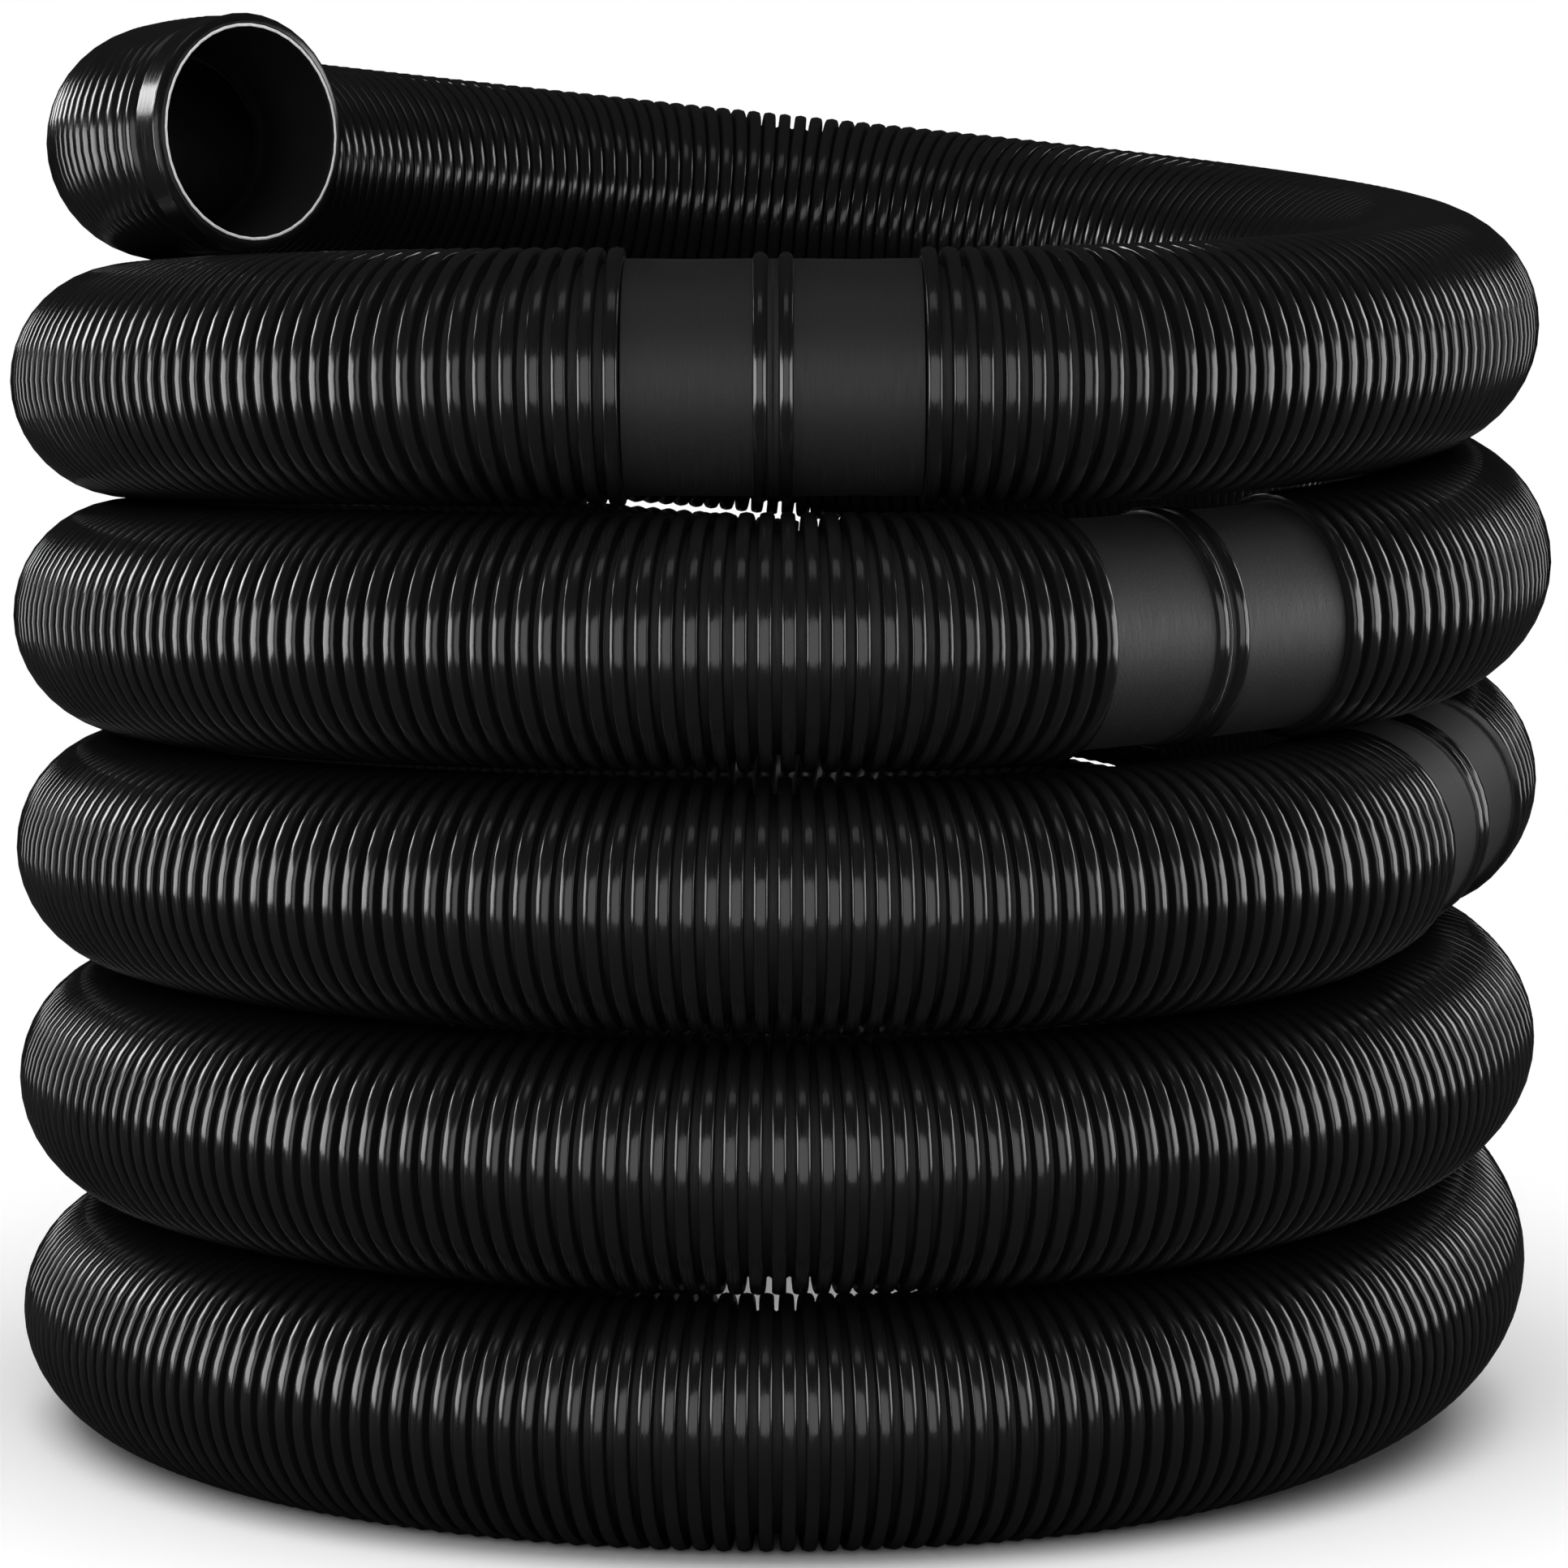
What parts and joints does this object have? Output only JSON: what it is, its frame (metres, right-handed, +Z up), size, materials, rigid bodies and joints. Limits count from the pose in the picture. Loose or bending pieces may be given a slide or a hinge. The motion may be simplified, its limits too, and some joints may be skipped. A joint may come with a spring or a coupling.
{
  "type": "coiled corrugated drain hose",
  "caption": "Black corrugated drain hose with smooth beaded cuffs, wound into an upright open coil with a free end curling in at the top.",
  "frame": {"origin": "middle of the coil's box at floor level", "axes": "+Z up along the coil's axis; -Y is the side the picture was taken from; +X is to the picture's right"},
  "size_m": [0.2908, 0.2906, 0.2615],
  "materials": {
    "hose_plastic": "black, satin to gloss, with a fine moulded grain"
  },
  "bodies": {
    "root": {"hose_section_1": "hose_plastic", "hose_section_2": "hose_plastic", "hose_section_3": "hose_plastic", "hose_section_4": "hose_plastic", "hose_section_5": "hose_plastic", "hose_section_6": "hose_plastic"}
  },
  "joints": []
}
